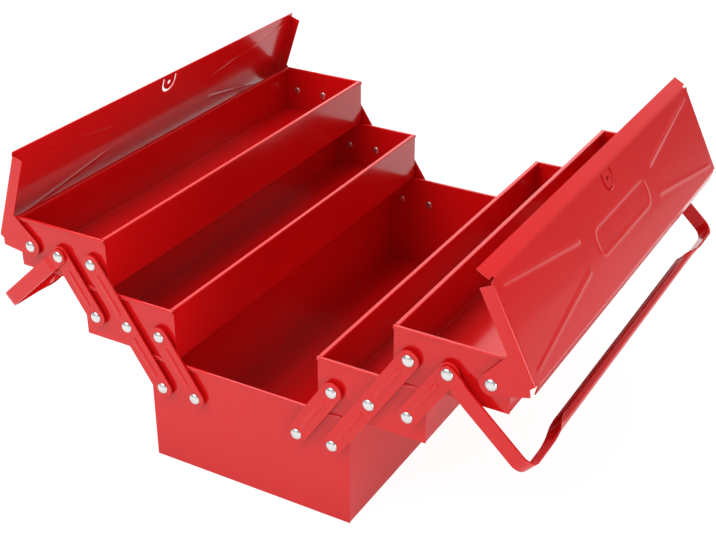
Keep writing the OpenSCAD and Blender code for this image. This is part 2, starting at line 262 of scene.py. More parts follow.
def finish_piece(name, form, body, nodes, smooth_below=40):
    """Makes the form an enamelled piece that rides on the body and replaces the CAD nodes."""
    mesh = bpy.data.meshes.new(name)
    form.to_mesh(mesh)
    form.free()
    mesh.materials.append(enamel)
    mesh.shade_smooth()
    mesh.set_sharp_from_angle(angle=math.radians(smooth_below))
    piece = bpy.data.objects.new(name, mesh)
    bpy.context.scene.collection.objects.link(piece)
    even = piece.modifiers.new("even shading", "WEIGHTED_NORMAL")
    even.keep_sharp = True
    work_out_modifiers(piece)
    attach(piece, body)
    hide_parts(*nodes)
    return piece


# %% [markdown]
# ## Trays and base
# A shell is one strip: a rolled rim, a long wall, the bottom, the other wall and its rim. Small
# tabs turn in at its corners. The end plates are separate, with a hem that is rolled outward, and
# they are welded to the tabs. The same two functions make the base and all four trays from their
# sizes.

# %% Shells
RIM_BEND, FLOOR_BEND, SHEET_BREAK = 1.05, 1.5, 0.22
# The corner tabs start this far inside the shell's outside, so that they lie in its bends
TAB_IN = 0.4


def add_box(form, low, high):
    """A plain block between two corners, for the small tabs."""
    corners = ((low[0], low[2]), (high[0], low[2]), (high[0], high[2]), (low[0], high[2]))
    pull(form, [Vector(p) for p in corners], low[1], high[1], along_box)


def make_shell(name, body, x0, z0, width, height):
    form = bmesh.new()
    x1, top, rim = x0 + width, z0 + height, z0 + height - RIM_H
    line = [(x0 + RIM_W, rim), (x0 + RIM_W, top), (x0, top), (x0, z0)]
    line += [(x1, z0), (x1, top), (x1 - RIM_W, top), (x1 - RIM_W, rim)]
    radii = [RIM_BEND, RIM_BEND, FLOOR_BEND, FLOOR_BEND, RIM_BEND, RIM_BEND]
    outline = thicken(bent_line(line, radii), SHEET)
    pull(form, outline, -HALF_L + SHEET, HALF_L - SHEET, along_box)
    for end in (-1, 1):
        y = sorted((end * (HALF_L - SHEET), end * (HALF_L - 2 * SHEET)))
        for x in (x0 + TAB_IN, x1 - TAB_W):
            add_box(form, (x, y[0], z0 + TAB_IN), (x + TAB_W - TAB_IN, y[1], rim))
    break_edges(form, SHEET_BREAK)
    return finish_piece(name + "_folded_shell", form, body, [name + "_shell"])


# %% End plates
# The hem's cut edge stays this far off the plate
HEM_GAP = 0.2
HEM_BENDS = [1.12, 1.2, 1.12]
SIDES = (("left", -1), ("right", 1))


def make_end_plate(name, body, x0, z0, width, height, end):
    form = bmesh.new()
    inside, outside, top = HALF_L - SHEET, HALF_L + HEM_OUT, z0 + height
    line = [(HALF_L + HEM_GAP, top - HEM_H), (outside, top - HEM_H)]
    line += [(outside, top), (inside, top), (inside, z0)]
    outline = thicken(bent_line(line, HEM_BENDS), SHEET)
    pull(form, outline, x0, x0 + width, lambda a, b, t: (t, end * a, b))
    break_edges(form, SHEET_BREAK)
    node = f"{name}_{'front' if end < 0 else 'rear'}_end"
    return finish_piece(node + "_hemmed", form, body, [node])


boxes = [("base", "base", -BASE_W / 2, 0, BASE_W, BASE_H)]
levels = (("middle", MIDDLE_OUT, MIDDLE_Z, MIDDLE_H), ("top", TOP_OUT, TOP_Z, TOP_H))
for side, sign in SIDES:
    for level, outer, z0, height in levels:
        x0 = outer - TRAY_W if sign > 0 else -outer
        boxes.append((f"{side}_{level}", f"{side}_{level}_tray", x0, z0, TRAY_W, height))
for name, body, x0, z0, width, height in boxes:
    make_shell(name, body, x0, z0, width, height)
    for end in (-1, 1):
        make_end_plate(name, body, x0, z0, width, height, end)
print("folded boxes:", [b[0] for b in boxes])

# %% [markdown]
# ## Links
# A link is a flat bar with round ends. Between two rivets a rib is pressed in it, which stiffens it
# and catches a bright line. Each bar is an outline pulled to its thickness. The ribs repeat, so
# Geometry Nodes place one rounded rib on each point, with its width, height and length as inputs.

# %% Link bars
LINK_W, LINK_T, LINK_OUT, LINK_BREAK = 18, 2, 2.35, 0.45
LINK_PITCH = math.hypot(PIVOT_STEP, LINK_RISE)
LEAN = math.atan2(PIVOT_STEP, LINK_RISE)
RIB_FROM, RIB_FROM_HANDLE, RIB_W, RIB_H = 10.5, 14.8, 4.8, 0.9


def stadium(width, length, steps=14):
    """A bar's outline with round ends, whose centres lie the length apart."""
    half = width / 2
    angles = [-math.pi / 2 + math.pi * i / steps for i in range(steps + 1)]
    right = [(math.cos(a), math.sin(a)) for a in angles]
    top = [Vector((length + half * c, half * s)) for c, s in right]
    return top + [Vector((-half * c, -half * s)) for c, s in right]


def make_links(body, side, sign, kind, low_x, low_z, bays, rib_to_top):
    """Makes the front and the rear bar of a kind, and gives the middles of their ribs."""
    nodes = [f"{side}_front_{kind}_link", f"{side}_rear_{kind}_link"]
    form = bmesh.new()
    along = (sign * math.sin(LEAN), math.cos(LEAN))
    across = (sign * math.cos(LEAN), -math.sin(LEAN))
    for end in (-1, 1):
        pull(
            form, stadium(LINK_W, bays * LINK_PITCH), end * (HALF_L + LINK_OUT),
            end * (HALF_L + LINK_OUT + LINK_T),
            lambda a, b, t: (
                sign * low_x + a * along[0] + b * across[0], t, low_z + a * along[1] + b * across[1]
            ),
        )
    break_edges(form, LINK_BREAK)
    finish_piece(f"{side}_{kind}_link_bars", form, body, nodes)
    out, shift = HALF_L + LINK_OUT + LINK_T, (RIB_FROM - rib_to_top) / 2
    spots = [(i + 0.5) * LINK_PITCH + shift for i in range(bays)]
    return [
        (sign * low_x + a * along[0], end * out, low_z + a * along[1])
        for end in (-1, 1) for a in spots
    ]


# %% A Geometry Nodes tree that presses a rib at each point
def new_tree(name, sockets):
    tree = bpy.data.node_groups.new(name, "GeometryNodeTree")
    tree.interface.new_socket("Geometry", in_out="INPUT", socket_type="NodeSocketGeometry")
    for label, kind, value in sockets:
        socket = tree.interface.new_socket(label, in_out="INPUT", socket_type=kind)
        if value is not None:
            socket.default_value = value
    tree.interface.new_socket("Geometry", in_out="OUTPUT", socket_type="NodeSocketGeometry")
    return tree, tree.nodes.new("NodeGroupInput")


def run_tree(name, tree, points, inputs, body):
    """Runs the tree on a few points, and keeps the result as a plain mesh on the body."""
    mesh = bpy.data.meshes.new(name)
    mesh.from_pydata([tuple(c * MM for c in p) for p in points], [], [])
    piece = bpy.data.objects.new(name, mesh)
    bpy.context.scene.collection.objects.link(piece)
    modifier = piece.modifiers.new("pattern", "NODES")
    modifier.node_group = tree
    for item in tree.interface.items_tree:
        if item.in_out == "INPUT" and item.name in inputs:
            modifier[item.identifier] = inputs[item.name]
    work_out_modifiers(piece)
    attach(piece, body)
    return piece


def rib_tree():
    tree, given = new_tree("pressed_ribs", [
        ("Width", "NodeSocketFloat", 0.0046), ("Height", "NodeSocketFloat", 0.0009),
        ("Straight", "NodeSocketFloat", 0.03), ("Lean", "NodeSocketFloat", 0.0),
        ("Finish", "NodeSocketMaterial", None),
    ])
    get = given.outputs
    ball = add_node(tree, "GeometryNodeMeshUVSphere", Segments=28, Rings=14, Radius=1.0)
    spot = add_node(tree, "GeometryNodeInputPosition")
    part = add_node(tree, "ShaderNodeSeparateXYZ", Vector=spot.outputs[0])
    half_w = add_node(
        tree, "ShaderNodeMath", {"operation": "MULTIPLY"}, _0=get["Width"], _1=0.5
    )
    side = add_node(tree, "ShaderNodeMath", {"operation": "SIGN"}, _0=part.outputs["Z"])
    half_s = add_node(
        tree, "ShaderNodeMath", {"operation": "MULTIPLY"}, _0=get["Straight"], _1=0.5
    )
    shift = add_node(
        tree, "ShaderNodeMath", {"operation": "MULTIPLY"}, _0=side.outputs[0], _1=half_s.outputs[0]
    )
    x = add_node(
        tree, "ShaderNodeMath", {"operation": "MULTIPLY"},
        _0=part.outputs["X"], _1=half_w.outputs[0],
    )
    y = add_node(
        tree, "ShaderNodeMath", {"operation": "MULTIPLY"}, _0=part.outputs["Y"], _1=get["Height"]
    )
    z = add_node(
        tree, "ShaderNodeMath", {"operation": "MULTIPLY_ADD"},
        _0=part.outputs["Z"], _1=half_w.outputs[0], _2=shift.outputs[0],
    )
    to = add_node(tree, "ShaderNodeCombineXYZ", X=x.outputs[0], Y=y.outputs[0], Z=z.outputs[0])
    rib = add_node(
        tree, "GeometryNodeSetPosition", Geometry=ball.outputs["Mesh"], Position=to.outputs[0]
    )
    turn = add_node(tree, "ShaderNodeCombineXYZ", Y=get["Lean"])
    placed = add_node(
        tree, "GeometryNodeInstanceOnPoints",
        Points=get["Geometry"], Instance=rib.outputs[0], Rotation=turn.outputs[0],
    )
    real = add_node(tree, "GeometryNodeRealizeInstances", Geometry=placed.outputs[0])
    smooth = add_node(tree, "GeometryNodeSetShadeSmooth", Geometry=real.outputs[0])
    painted = add_node(
        tree, "GeometryNodeSetMaterial", Geometry=smooth.outputs[0], Material=get["Finish"]
    )
    add_node(tree, "NodeGroupOutput", Geometry=painted.outputs[0])
    return tree


pressed_ribs = rib_tree()
kinds = (
    ("long", PIVOT_X[1], PIVOT_Z[0], 2, RIB_FROM),
    ("lower", PIVOT_X[0], PIVOT_Z[0], 1, RIB_FROM),
    ("upper", PIVOT_X[3], PIVOT_Z[1], 1, RIB_FROM_HANDLE),
)
for side, sign in SIDES:
    for kind, low_x, low_z, bays, rib_to_top in kinds:
        body = f"{side}_{kind}_links"
        middles = make_links(body, side, sign, kind, low_x, low_z, bays, rib_to_top)
        inputs = {
            "Width": RIB_W * MM, "Height": RIB_H * MM, "Lean": sign * LEAN,
            "Straight": (LINK_PITCH - RIB_FROM - rib_to_top - RIB_W) * MM, "Finish": enamel,
        }
        run_tree(f"{side}_{kind}_link_ribs", pressed_ribs, middles, inputs, body)
print("link pitch:", round(LINK_PITCH, 2), "mm, lean:", round(math.degrees(LEAN), 1), "degrees")

# %% [markdown]
# ## Rivets
# The pivots are solid rivets: a low dome outside and a clenched tail inside the tray. One dome and
# one tail are turned like parts on a lathe, and Geometry Nodes set a copy on each pivot. The tree
# turns the copies at the rear end half round, so that every dome faces outward. Blender's own spin
# makes the same shape, but it lists the faces in another order from run to run, so a loop joins
# ring to ring here.

# %% Turn a dome and a tail
TURN_STEPS = 36


def turned(name, profile):
    """A pattern turned about y from pairs of radius and height. Both ends lie on the axis."""
    form = bmesh.new()
    angles = [math.tau * i / TURN_STEPS for i in range(TURN_STEPS)]
    rings = [
        [form.verts.new(Vector((r * math.cos(a), -out, r * math.sin(a))) * MM) for a in angles]
        for r, out in profile[1:-1]
    ]
    start, stop = [form.verts.new((0, -profile[i][1] * MM, 0)) for i in (0, -1)]
    for i in range(TURN_STEPS):
        k = (i + 1) % TURN_STEPS
        form.faces.new((start, rings[0][i], rings[0][k]))
        for near, far in zip(rings, rings[1:]):
            form.faces.new((near[i], far[i], far[k], near[k]))
        form.faces.new((stop, rings[-1][k], rings[-1][i]))
    bmesh.ops.recalc_face_normals(form, faces=form.faces)
    mesh = bpy.data.meshes.new(name)
    form.to_mesh(mesh)
    form.free()
    mesh.shade_smooth()
    mesh.set_sharp_from_angle(angle=math.radians(50))
    pattern = bpy.data.objects.new(name, mesh)
    bpy.context.scene.collection.objects.link(pattern)
    return pattern


dome = turned("rivet_dome", [
    (0, 2.2), (1.0, 2.16), (2.0, 2.02), (3.0, 1.74), (3.8, 1.36), (4.4, 0.94), (4.8, 0.5),
    (5.0, 0.16), (4.95, 0), (2.5, 0), (2.5, -0.6), (0, -0.6),
])
tail = turned("rivet_tail", [
    (0, -1.2), (1.2, -1.15), (2.6, -1.2), (3.6, -0.95), (4.0, -0.5), (3.95, 0), (0, 0),
])
print("faces of a dome and a tail:", len(dome.data.polygons), len(tail.data.polygons))


# %% A Geometry Nodes tree that sets a pattern on each pivot
def rivet_tree():
    tree, given = new_tree("rivets_on_pivots", [
        ("Pattern", "NodeSocketObject", None), ("Size", "NodeSocketFloat", 1.0),
        ("Finish", "NodeSocketMaterial", None),
    ])
    get = given.outputs
    spot = add_node(tree, "GeometryNodeInputPosition")
    part = add_node(tree, "ShaderNodeSeparateXYZ", Vector=spot.outputs[0])
    rear = add_node(
        tree, "ShaderNodeMath", {"operation": "GREATER_THAN"}, _0=part.outputs["Y"], _1=0.0
    )
    half_turn = add_node(
        tree, "ShaderNodeMath", {"operation": "MULTIPLY"}, _0=rear.outputs[0], _1=math.pi
    )
    turn = add_node(tree, "ShaderNodeCombineXYZ", Z=half_turn.outputs[0])
    one = add_node(
        tree, "GeometryNodeObjectInfo", {"transform_space": "ORIGINAL"}, Object=get["Pattern"]
    )
    placed = add_node(
        tree, "GeometryNodeInstanceOnPoints",
        Points=get["Geometry"], Instance=one.outputs["Geometry"],
        Rotation=turn.outputs[0], Scale=get["Size"],
    )
    real = add_node(tree, "GeometryNodeRealizeInstances", Geometry=placed.outputs[0])
    plated = add_node(
        tree, "GeometryNodeSetMaterial", Geometry=real.outputs[0], Material=get["Finish"]
    )
    add_node(tree, "NodeGroupOutput", Geometry=plated.outputs[0])
    return tree


rivets_on_pivots = rivet_tree()
# How far each dome sits out from the box's end: over a link, a lid's ear, or a handle on a link
LINK_SEAT, EAR_SEAT, HANDLE_SEAT = 4.5, 3.5, 6.85
pivots = {"base": [(s * x, PIVOT_Z[0], LINK_SEAT) for s in (-1, 1) for x in PIVOT_X[:2]]}
for side, sign in SIDES:
    pivots[f"{side}_middle"] = [(sign * x, PIVOT_Z[1], LINK_SEAT) for x in PIVOT_X[1:4]]
    seats = zip(PIVOT_X[3:6], (LINK_SEAT, HANDLE_SEAT, EAR_SEAT))
    pivots[f"{side}_top"] = [(sign * x, PIVOT_Z[2], seat) for x, seat in seats]
for name, spots in pivots.items():
    body = name if name == "base" else name + "_tray"
    heads = [(x, end * (HALF_L + seat), z) for x, z, seat in spots for end in (-1, 1)]
    tails = [(x, end * (HALF_L - SHEET), z) for x, z, seat in spots for end in (-1, 1)]
    domes = run_tree(
        name + "_rivet_domes", rivets_on_pivots, heads, {"Pattern": dome, "Finish": zinc},
        body,
    )
    run_tree(
        name + "_rivet_tails", rivets_on_pivots, tails, {"Pattern": tail, "Finish": zinc},
        body,
    )
    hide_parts(name + "_rivets")
for pattern in (dome, tail):
    bpy.data.objects.remove(pattern)
print("rivets:", sum(len(spots) * 2 for spots in pivots.values()))

# %% [markdown]
# ## Lids
# A lid is one pressing: a flat top, a sloping shoulder over the hinge, and an end flange with an
# ear round each pivot. Shallow ribs run towards its corners, and the right lid has a plain oblong
# frame between them and a strip that is bent down to tuck under the left lid, notched at its bend.
# A fine grid is raised where the press does it, its ends run over a bend into the flanges, and the
# sheet's thickness is added under it. Images could fake the ribs, but only real height catches the
# light from every side. The slot round the lock tab is cut last.

# %% Lid sizes and the height that the press gives
LID_RISE, LID_OUT, LID_HALF_L = 34.2, 8.4, 218.35
SHOULDER_W, SHOULDER_SLOPE, NOTCH = 9.4, math.radians(41), 6
FLANGE_H, FLANGE_SHORT, EAR_R, EAR_REACH = 11.4, 4, 9.4, 20
LID_BEND, END_BEND, STRIP_BEND = 2.4, 1.7, 5
STRIP_W, STRIP_SLOPE = 13, math.radians(35)
# The ribs start at the corners of a plain field in the middle, and end short of the lid's edges
FIELD_HALF_W, FIELD_HALF_L, SHORT_OF_SIDE, SHORT_OF_END = 13.5, 84, 8.5, 13
LID_RIB_H, LID_RIB_W, LID_RIB_NARROWS, LID_RIB_SINKS, LID_RIB_STEEP = 0.55, 2.3, 0.8, 0.35, 1.6
# The plain frame: its middle from the lid's, the half sizes inside its round corners, its line
FRAME_X, FRAME_Y, FRAME_HALF_W, FRAME_HALF_L, FRAME_CORNER = 1.5, 3, 3.0, 50.0, 9.0
FRAME_H, FRAME_LINE_W = 0.4, 1.25


def to_segment(o, y, a, b):
    """Distance to the line from a to b, and how far along it, from 0 to 1."""
    run = Vector(b) - Vector(a)
    share = max(0.0, min(1.0, (Vector((o, y)) - Vector(a)).dot(run) / run.length_squared))
    return (Vector((o, y)) - Vector(a) - run * share).length, share


def pressed_height(o, y, middle, flat_w, framed):
    """How far the press raises the flat top at a point, for the ribs and a frame."""
    across, along = (1 if o > middle else -1), (1 if y > 0 else -1)
    start = (middle + across * FIELD_HALF_W, along * FIELD_HALF_L)
    end = (middle + across * (flat_w / 2 - SHORT_OF_SIDE), along * (LID_HALF_L - SHORT_OF_END))
    gap, share = to_segment(o, y, start, end)
    width = LID_RIB_W - LID_RIB_NARROWS * share
    raised = LID_RIB_H * (1 - LID_RIB_SINKS * share)
    raised *= math.exp(-((gap / width) ** 2) * LID_RIB_STEEP)
    if framed:
        bx, by = abs(o - middle - FRAME_X) - FRAME_HALF_W, abs(y - FRAME_Y) - FRAME_HALF_L
        outside = math.hypot(max(bx, 0), max(by, 0)) + min(max(bx, by), 0)
        line = (outside - FRAME_CORNER) / FRAME_LINE_W
        raised = max(raised, FRAME_H * math.exp(-(line**2)))
    return raised if raised > 0.01 else 0.0


rib_start = pressed_height(FIELD_HALF_W, FIELD_HALF_L, 0, 90, False)
print("where a rib starts, the top is raised by", round(rib_start, 2), "mm")


# %% Build a lid's skin
# Widths of the fine grid's cells: over the flat top, towards its free edge, and at that edge
CELL, EDGE_CELL, FIRST_CELL = 1.25, 1.4, 1.2
# Gap between the flat top's last line of points and the first one of the bend over the hinge
BEND_GAP = 0.1
# Faces round the strip's bend, all of which the notch at each end takes away
BEND_STEPS = 8
# Faces over the bend at the lid's ends, and round an ear
END_STEPS, EAR_STEPS = 5, 24
# Distance below the top at which the flange's outline starts, under the bend over the hinge
UNDER_BEND = 5.2


def spaced(low, high, step):
    """Even steps from low to high, of about the step."""
    count = max(1, round((high - low) / step))
    return [low + (high - low) * i / count for i in range(count + 1)]


def down_slope(start, length, slope):
    """The end of a line that leaves the lid's top at start and slopes down; length has a sign."""
    return (start + length * math.cos(slope), LID_RISE - abs(length) * math.sin(slope))


def ear_line(free):
    """The flange's lower edge, from the shoulder side round the ear to the free side."""
    shoulder = down_slope(LID_OUT, SHOULDER_W, SHOULDER_SLOPE)
    foot = Vector((shoulder[0] - SHEET, shoulder[1] - SHEET))
    heel = Vector((-EAR_REACH, LID_RISE - FLANGE_H))

    def touch(p, turn):
        return math.atan2(p.y, p.x) + turn * math.acos(EAR_R / p.length)

    start, stop = touch(foot, -1), touch(heel, 1)
    start = start if start > stop - 2 * math.pi else start + 2 * math.pi
    sweep = (stop - start) % (2 * math.pi) - 2 * math.pi
    angles = [start + sweep * i / EAR_STEPS for i in range(EAR_STEPS + 1)]
    arc = [Vector((EAR_R * math.cos(a), EAR_R * math.sin(a))) for a in angles]
    outer, inner = Vector((LID_OUT, LID_RISE - UNDER_BEND)), Vector((free + FLANGE_SHORT, heel.y))
    return [outer, foot] + arc + [heel, inner]


def lid_columns(flat_w, strip):
    """The lid's section, from the free edge to the shoulder, and its first and last flat point."""
    free = LID_OUT - flat_w
    shoulder = down_slope(LID_OUT, SHOULDER_W, SHOULDER_SLOPE)
    over = bent_line([(0, LID_RISE), (LID_OUT, LID_RISE), shoulder], [LID_BEND])[1:]
    left_edge, right_edge = free + FLANGE_SHORT, over[0].x - BEND_GAP
    flat = [Vector((o, LID_RISE)) for o in spaced(left_edge, right_edge, CELL)]
    edge_cells = spaced(free + FIRST_CELL, left_edge, EDGE_CELL)
    before = [Vector((o, LID_RISE)) for o in edge_cells[:-1]]
    if strip:
        tip = down_slope(free, -STRIP_W, STRIP_SLOPE)
        corner, onward = (free, LID_RISE), (free + STRIP_BEND, LID_RISE)
        before = bent_line([tip, corner, onward], [STRIP_BEND], BEND_STEPS)[:-1] + before[2:]
    else:
        before = [Vector((free, LID_RISE))] + before
    return before + flat + over, len(before), len(before) + len(flat) - 1


def lid_skin(flat_w, strip):
    """The lid's upper side in millimetres, without thickness."""
    free, middle = LID_OUT - flat_w, LID_OUT - flat_w / 2
    columns, first, last = lid_columns(flat_w, strip)
    relief = range(1, BEND_STEPS + 1) if strip else ()
    flat_end, inner_end = LID_HALF_L - END_BEND, LID_HALF_L - NOTCH
    rows = [-flat_end] + spaced(-inner_end, inner_end, CELL) + [flat_end]
    form = bmesh.new()

    def at(o, y, z):
        return form.verts.new((o, y, z))

    def raised(i, o, y):
        return pressed_height(o, y, middle, flat_w, strip) if first <= i <= last else 0

    grid = [[at(c.x, y, c.y + raised(i, c.x, y)) for y in rows] for i, c in enumerate(columns)]
    for i in range(len(columns) - 1):
        for j in range(len(rows) - 1):
            inside = 1 <= j < len(rows) - 2
            if inside or (i < last and i not in relief):
                form.faces.new(
                    (grid[i][j], grid[i + 1][j], grid[i + 1][j + 1], grid[i][j + 1])
                )
    for end, j in ((-1, 0), (1, len(rows) - 1)):
        edge = [at(c.x, end * LID_HALF_L, c.y) for c in columns[: first + 1]]
        for i in range(first):
            if i not in relief:
                form.faces.new((grid[i][j], grid[i + 1][j], edge[i + 1], edge[i]))
        layer = [grid[i][j] for i in range(first, last + 1)]
        for k in range(1, END_STEPS + 1):
            angle = math.pi / 2 * k / END_STEPS
            y = end * (flat_end + END_BEND * math.sin(angle))
            lower = [at(v.co.x, y, LID_RISE - END_BEND * (1 - math.cos(angle))) for v in layer]
            for i in range(len(layer) - 1):
                form.faces.new((layer[i], layer[i + 1], lower[i + 1], lower[i]))
            layer = lower
        foot = [at(p.x, end * LID_HALF_L, p.y) for p in ear_line(free)]
        form.faces.new(layer + foot)
    loose = [v for v in form.verts if not v.link_faces]
    bmesh.ops.delete(form, geom=loose, context="VERTS")
    form.verts.index_update()
    bmesh.ops.recalc_face_normals(form, faces=form.faces)
    top = max(form.faces, key=lambda f: f.calc_center_median().z)
    if top.normal.z < 0:
        bmesh.ops.reverse_faces(form, faces=form.faces)
    return form, free


# %% The slot round the lock tab, and the finished lids
TAB_SLOT_W, TAB_SLOT_D, TAB_CUT, TAB_HOLE_R, TAB_FROM_EDGE = 21, 17, 2.6, 2.4, 3
# Heights below and above the lid's top, between which the slot is cut
CUT_LOW, CUT_HIGH = 26, 40
# Smallest turn that counts as a sheared edge, and the width that is broken off it
LID_EDGE_TURN, LID_BREAK = 60, 0.2


def tab_cutter(free):
    """The solids that cut a curved slot, which frees a tab, and the tab's hole for a padlock."""
    form = bmesh.new()
    outer, near = TAB_SLOT_W / 2, free + TAB_FROM_EDGE
    inner, bend = outer - TAB_CUT, near + TAB_SLOT_D - outer
    turn = [math.radians(a) for a in range(90, -91, -10)]

    def arc(radius, angles):
        return [(bend + radius * math.cos(a), radius * math.sin(a)) for a in angles]

    slot = [(near, outer)] + arc(outer, turn) + [(near, -outer), (near, -inner)]
    slot += arc(inner, reversed(turn)) + [(near, inner)]
    hole = arc(TAB_HOLE_R, [math.tau * i / 24 for i in range(24)])
    for outline in (slot, hole):
        pull(form, [Vector(p) for p in outline], CUT_LOW, CUT_HIGH, lambda a, b, t: (a, b, t))
    bmesh.ops.recalc_face_normals(form, faces=form.faces)
    return form


def mesh_object(name, form, scale=1.0):
    """A scaled form as an object that modifiers can work on."""
    mesh = bpy.data.meshes.new(name)
    form.to_mesh(mesh)
    form.free()
    mesh.transform(Matrix.Scale(scale, 4))
    thing = bpy.data.objects.new(name, mesh)
    bpy.context.scene.collection.objects.link(thing)
    return thing


def make_lid(side, sign, flat_w, strip, opened):
    """One lid, standing open by so many degrees."""
    form, free = lid_skin(flat_w, strip)
    lid = mesh_object(side + "_lid_pressing", form, MM)
    cutter = mesh_object("tab_cutter", tab_cutter(free))
    thick = lid.modifiers.new("sheet", "SOLIDIFY")
    thick.thickness, thick.offset, thick.use_even_offset = SHEET * MM, -1, True
    slot_cut = lid.modifiers.new("slot", "BOOLEAN")
    slot_cut.operation, slot_cut.object, slot_cut.solver = "DIFFERENCE", cutter, "EXACT"
    work_out_modifiers(lid)
    bpy.data.objects.remove(cutter)
    hinge = Matrix.Translation(Vector((PIVOT_X[5], 0, PIVOT_Z[2])) * MM)
    turn, flip = Matrix.Rotation(math.radians(opened), 4, "Y"), Matrix.Diagonal((sign, 1, 1, 1))
    lid.data.transform(flip @ (hinge @ turn))
    form = bmesh.new()
    form.from_mesh(lid.data)
    bpy.data.objects.remove(lid)
    if sign < 0:
        bmesh.ops.reverse_faces(form, faces=form.faces)
    break_edges(form, LID_BREAK, LID_EDGE_TURN)
    return finish_piece(side + "_lid_pressing", form, side + "_lid_body", [side + "_lid"])


# Side and its sign, width of the flat top, whether it has the strip, and degrees open
lid_kinds = (("left", -1, 88.8, False, 71.5), ("right", 1, 86.3, True, 63.5))
lids = [make_lid(*kind) for kind in lid_kinds]
print("lid faces:", [len(lid.data.polygons) for lid in lids])

# %% [markdown]
# ## Handles
# Each bail handle is one flat steel strip. Its ends step outward past the lid's rivet, its corners
# are bent round, and along the grip its edges are curled inward so that it doesn't cut the hand. A
# loft along the bent line does this: the strip's section stays flat in the arms and curls in the
# grip.

# %% Sections of the strip
STRIP_HALF, STRIP_T, REACH = 7, 2.2, 93
# How far the arms, and the ends on their pivots, sit out from the box's end
ARM_SEAT, END_SEAT = 6.2, 4.5
ARM_Q, END_Q = HALF_L + ARM_SEAT + STRIP_T, HALF_L + END_SEAT + STRIP_T
CURL_FLAT, CURL_R, CURL_HALF = 1.2, 3.3, 10.4
# Radius of the strip's broken edge, and how far its middle point lies inside the square corner
EDGE_R, EDGE_IN = 0.45, 0.13


def strip_section(half, curl, steps=14):
    """Points round the section: the outer face at depth 0, the inner one a thickness deeper."""
    path, depth, across, angle = [], STRIP_T / 2, 0.0, 0.0
    for i in range(steps + 1):
        s = half * i / steps
        path.append((depth, across, angle))
        ds = half / steps
        bend = curl * ds / CURL_R if s >= CURL_FLAT else 0.0
        angle += bend
        depth += math.sin(angle - bend / 2) * ds
        across += math.cos(angle - bend / 2) * ds
    t, r = STRIP_T / 2, EDGE_R

    def offset(p, out, along=0.0):
        d, c, a = p
        deeper = d + out * math.cos(a) + along * math.sin(a)
        return (deeper, c - out * math.sin(a) + along * math.cos(a))

    tip = path[-1]
    outer = [offset(p, -t) for p in path[:-1]]
    cap = [offset(tip, -t, -r), offset(tip, -t + EDGE_IN, -EDGE_IN), offset(tip, -t + r)]
    cap += [offset(tip, t - r), offset(tip, t - EDGE_IN, -EDGE_IN), offset(tip, t, -r)]
    inner = [offset(p, t) for p in reversed(path[:-1])]
    one_side = outer + cap + inner
    other = [(d, -c) for d, c in reversed(one_side)]
    return one_side + other[1:-1]


print("corners of the grip's section:", len(strip_section(CURL_HALF, 1)))


# %% Bend the strip's line
JOGGLE_FROM, JOGGLE_TO, JOGGLE_R, CORNER_R = 10, 15, 1.6, 12
# Lengths of the loft's steps: round the ends, and elsewhere
TIP_STEP, STEP = 1.2, 6


def handle_line():
    """The strip's line from end to end, as reach from the pivot and place along the box."""
    front = [
        (-STRIP_HALF, -END_Q), (JOGGLE_FROM, -END_Q), (JOGGLE_TO, -ARM_Q), (REACH, -ARM_Q)
    ]
    rear = [(r, -q) for r, q in reversed(front)]
    radii = [JOGGLE_R, JOGGLE_R, CORNER_R, CORNER_R, JOGGLE_R, JOGGLE_R]
    line = bent_line(front + rear, radii, steps=8)
    dense = [line[0]]
    for a, b in zip(line, line[1:]):
        near_tip = min(a.x, b.x) < 1
        pieces = max(1, math.ceil((b - a).length / (TIP_STEP if near_tip else STEP)))
        dense += [a + (b - a) * (i / pieces) for i in range(1, pieces + 1)]
    return dense


print("sections along a handle:", len(handle_line()))

# %% Loft the handles
# Half length over which the strip's edges curl, and the run in which the curl becomes full
GRIP_HALF_L, GRIP_RUN = 188, 46
# Half width that is left at the very tip of the strip's round end
TIP_HALF = 0.9
# Degrees that the arms hang below the level
HANG = 43


def curl_share(point):
    """How far the edges are curled at a point of the strip's line, from 0 to 1."""
    share = max(0.0, min(1.0, (GRIP_HALF_L - abs(point.y)) / GRIP_RUN))
    return share * share * (3 - 2 * share) if point.x > REACH - 1 else 0.0


def make_handle(side, sign):
    dense = handle_line()
    form = bmesh.new()
    drop = math.radians(HANG)
    rings = []
    for i, point in enumerate(dense):
        before, after = dense[max(i - 1, 0)], dense[min(i + 1, len(dense) - 1)]
        along = (after - before).normalized()
        inward = Vector((-along.y, along.x))
        grip = curl_share(point)
        half = STRIP_HALF + (CURL_HALF - STRIP_HALF) * grip
        if point.x < 0:
            half = max(TIP_HALF, math.sqrt(max(0.0, STRIP_HALF**2 - point.x**2)))
        ring = []
        for depth, across in strip_section(half, grip):
            r, q = point.x + inward.x * depth, point.y + inward.y * depth
            x = sign * (PIVOT_X[4] + r * math.cos(drop) + across * math.sin(drop))
            z = PIVOT_Z[2] - r * math.sin(drop) + across * math.cos(drop)
            ring.append(form.verts.new(Vector((x, q, z)) * MM))
        rings.append(ring)
    for a, b in zip(rings, rings[1:]):
        for i in range(len(a)):
            k = (i + 1) % len(a)
            form.faces.new((a[i], a[k], b[k], b[i]))
    form.faces.new(rings[0])
    form.faces.new(rings[-1][::-1])
    bmesh.ops.recalc_face_normals(form, faces=form.faces)
    return finish_piece(
        side + "_handle_strip", form, side + "_handle_body", [side + "_handle"], smooth_below=50
    )


handles = [make_handle(side, sign) for side, sign in SIDES]
print("handle faces:", [len(h.data.polygons) for h in handles])

# %% [markdown]
# ## Floor
# The picture is a catalogue cut-out on white. The camera sees the floor mostly as white, more so
# farther out, and the rest of it is matt and keeps the box's soft shadow. Mirror rays see a share
# of that white too, as gloss paint in a white room does.

# %% Floor
FLOOR_HALF, FLOOR_Z = 3, -0.0002


